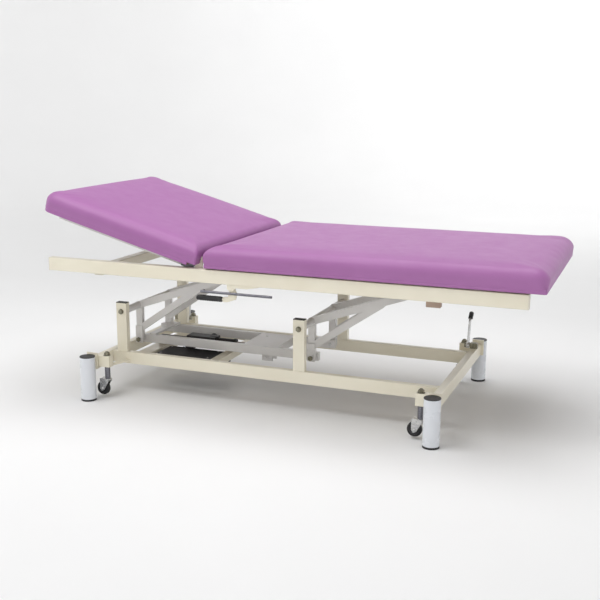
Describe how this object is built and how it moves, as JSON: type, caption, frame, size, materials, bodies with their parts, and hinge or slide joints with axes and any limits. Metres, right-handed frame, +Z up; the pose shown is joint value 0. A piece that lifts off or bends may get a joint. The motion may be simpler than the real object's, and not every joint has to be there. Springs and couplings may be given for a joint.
{
  "type": "examination couch",
  "caption": "Padded two-section examination couch with a hinged back, a powered parallel-arm lift, round legs and retracting casters.",
  "frame": {"origin": "floor level, midway along and across the whole couch as it stands with its back section raised", "axes": "+X from the head end to the foot end, +Z up, +Y to the pedal side"},
  "size_m": [1.9746, 0.9248, 0.8316],
  "materials": {
    "frame_paint": "semi-gloss powder coat",
    "lever_paint": "semi-gloss powder coat, greyer",
    "cream_plastic": "moulded, satin",
    "tan_plastic": "moulded, satin",
    "leg_paint": "semi-gloss powder coat",
    "vinyl": "soft vinyl, fine grain",
    "board": "dark sealed plywood",
    "black_plastic": "matt moulded",
    "zinc": "bright zinc",
    "chrome": "polished",
    "gunmetal": "dark burnished",
    "fastener": "dull passivated",
    "tread": "smooth"
  },
  "bodies": {
    "base": {"base_rails": "frame_paint", "base_crossbars": "frame_paint", "base_cross_members": "frame_paint", "leg_plates": "frame_paint", "legs": "leg_paint", "leg_end_caps": "black_plastic", "caster_blocks": "frame_paint", "lift_posts": "frame_paint", "post_caps": "black_plastic", "base_fasteners": "fastener", "actuator_housing": "black_plastic", "actuator_tube": "black_plastic", "control_box": "black_plastic"},
    "head_lever": {"head_lever_sides": "lever_paint", "head_lever_shaft": "lever_paint", "head_lever_pins": "zinc"},
    "foot_lever": {"foot_lever_sides": "lever_paint", "foot_lever_shaft": "lever_paint", "foot_lever_pins": "zinc"},
    "push_frame": {"push_bars": "lever_paint", "drive_plate": "lever_paint", "push_ties": "lever_paint"},
    "ram": {"actuator_rod": "chrome"},
    "top_frame": {"top_rails": "frame_paint", "top_cross_tubes": "frame_paint", "frame_lugs": "lever_paint", "rail_end_caps": "cream_plastic", "rail_stops": "tan_plastic", "hinge_lugs": "frame_paint", "seat_board": "board", "seat_cushion": "vinyl", "gas_spring_cylinder": "black_plastic", "release_hanger": "frame_paint"},
    "gas_rod": {"gas_spring_rod": "chrome"},
    "back_section": {"back_cushion": "vinyl", "back_board": "board", "back_side_tubes": "lever_paint", "back_cross_tubes": "lever_paint", "back_hinge_plates": "gunmetal", "gas_crank_plates": "lever_paint"},
    "release_handle": {"release_bracket": "frame_paint", "release_grip": "black_plastic", "release_rod": "gunmetal"},
    "pedal_head": {"pedal_lever_head": "zinc", "pedal_grip_head": "black_plastic"},
    "pedal_foot": {"pedal_lever_foot": "zinc", "pedal_grip_foot": "black_plastic"},
    "stem_head_near": {"caster_stem_head_near": "gunmetal"},
    "fork_head_near": {"caster_fork_head_near": "zinc"},
    "wheel_head_near": {"caster_wheel_head_near": "tread"},
    "stem_head_far": {"caster_stem_head_far": "gunmetal"},
    "fork_head_far": {"caster_fork_head_far": "zinc"},
    "wheel_head_far": {"caster_wheel_head_far": "tread"},
    "stem_foot_near": {"caster_stem_foot_near": "gunmetal"},
    "fork_foot_near": {"caster_fork_foot_near": "zinc"},
    "wheel_foot_near": {"caster_wheel_foot_near": "tread"},
    "stem_foot_far": {"caster_stem_foot_far": "gunmetal"},
    "fork_foot_far": {"caster_fork_foot_far": "zinc"},
    "wheel_foot_far": {"caster_wheel_foot_far": "tread"}
  },
  "joints": [
    {"name": "lift", "type": "hinge", "parent": "base", "child": "head_lever", "pos_m": [-0.73075, 0, 0.336], "axis": [0, -1, 0], "range_deg": [-14, 36]},
    {"name": "foot_lift", "type": "hinge", "parent": "base", "child": "foot_lever", "pos_m": [0.05025, 0, 0.336], "axis": [0, -1, 0], "range_deg": [-14, 36]},
    {"name": "top_level", "type": "hinge", "parent": "head_lever", "child": "top_frame", "pos_m": [-0.23938, 0, 0.50615], "axis": [0, -1, 0], "range_deg": [-36, 14]},
    {"name": "push_level", "type": "hinge", "parent": "head_lever", "child": "push_frame", "pos_m": [-0.73075, 0, 0.187], "axis": [0, -1, 0], "range_deg": [-36, 14]},
    {"name": "actuator_extend", "type": "slide", "parent": "base", "child": "ram", "axis": [1, 0, 0], "range_m": [-0.0345, 0.0887]},
    {"name": "back_angle", "type": "hinge", "parent": "top_frame", "child": "back_section", "pos_m": [-0.31775, 0, 0.6], "axis": [0, 1, 0], "range_deg": [-15.4, 39.6]},
    {"name": "gas_extend", "type": "slide", "parent": "top_frame", "child": "gas_rod", "axis": [-1, 0, 0], "range_m": [-0.027, 0.0694]},
    {"name": "release", "type": "hinge", "parent": "top_frame", "child": "release_handle", "pos_m": [-0.17175, -0.3905, 0.5], "axis": [0, 1, 0], "range_deg": [0, 12], "stiffness_Nm_per_rad": 3, "springref_deg": -20.05},
    {"name": "pedal_head", "type": "hinge", "parent": "base", "child": "pedal_head", "pos_m": [-0.73675, 0.325, 0.18], "axis": [-1, 0, 0], "range_deg": [0, 50]},
    {"name": "pedal_foot", "type": "hinge", "parent": "base", "child": "pedal_foot", "pos_m": [0.58425, 0.325, 0.18], "axis": [-1, 0, 0], "range_deg": [0, 50]},
    {"name": "caster_lift_head_near", "type": "slide", "parent": "base", "child": "stem_head_near", "axis": [0, 0, -1], "range_m": [0, 0.0201]},
    {"name": "caster_swivel_head_near", "type": "hinge", "parent": "stem_head_near", "child": "fork_head_near", "pos_m": [-0.74075, -0.374, 0.08], "axis": [0, 0, 1], "continuous": true},
    {"name": "caster_roll_head_near", "type": "hinge", "parent": "fork_head_near", "child": "wheel_head_near", "pos_m": [-0.76075, -0.374, 0.038], "axis": [0, 1, 0], "continuous": true},
    {"name": "caster_lift_head_far", "type": "slide", "parent": "base", "child": "stem_head_far", "axis": [0, 0, -1], "range_m": [0, 0.0201]},
    {"name": "caster_swivel_head_far", "type": "hinge", "parent": "stem_head_far", "child": "fork_head_far", "pos_m": [-0.74075, 0.374, 0.08], "axis": [0, 0, 1], "continuous": true},
    {"name": "caster_roll_head_far", "type": "hinge", "parent": "fork_head_far", "child": "wheel_head_far", "pos_m": [-0.76075, 0.374, 0.038], "axis": [0, 1, 0], "continuous": true},
    {"name": "caster_lift_foot_near", "type": "slide", "parent": "base", "child": "stem_foot_near", "axis": [0, 0, -1], "range_m": [0, 0.0201]},
    {"name": "caster_swivel_foot_near", "type": "hinge", "parent": "stem_foot_near", "child": "fork_foot_near", "pos_m": [0.55925, -0.374, 0.08], "axis": [0, 0, 1], "continuous": true},
    {"name": "caster_roll_foot_near", "type": "hinge", "parent": "fork_foot_near", "child": "wheel_foot_near", "pos_m": [0.53925, -0.374, 0.038], "axis": [0, 1, 0], "continuous": true},
    {"name": "caster_lift_foot_far", "type": "slide", "parent": "base", "child": "stem_foot_far", "axis": [0, 0, -1], "range_m": [0, 0.0201]},
    {"name": "caster_swivel_foot_far", "type": "hinge", "parent": "stem_foot_far", "child": "fork_foot_far", "pos_m": [0.55925, 0.374, 0.08], "axis": [0, 0, 1], "continuous": true},
    {"name": "caster_roll_foot_far", "type": "hinge", "parent": "fork_foot_far", "child": "wheel_foot_far", "pos_m": [0.53925, 0.374, 0.038], "axis": [0, 1, 0], "continuous": true}
  ],
  "couplings": [
    {"joint": "foot_lift", "follows": "lift", "ratio": 1},
    {"joint": "top_level", "follows": "lift", "ratio": -1},
    {"joint": "push_level", "follows": "lift", "ratio": -1},
    {"joint": "actuator_extend", "follows": "lift", "m_per_rad": 0.141},
    {"joint": "gas_extend", "follows": "back_angle", "m_per_rad": 0.1003},
    {"joint": "caster_lift_head_near", "follows": "pedal_head", "m_per_rad": 0.0229},
    {"joint": "caster_lift_head_far", "follows": "pedal_head", "m_per_rad": 0.0229},
    {"joint": "caster_lift_foot_near", "follows": "pedal_foot", "m_per_rad": 0.0229},
    {"joint": "caster_lift_foot_far", "follows": "pedal_foot", "m_per_rad": 0.0229}
  ]
}
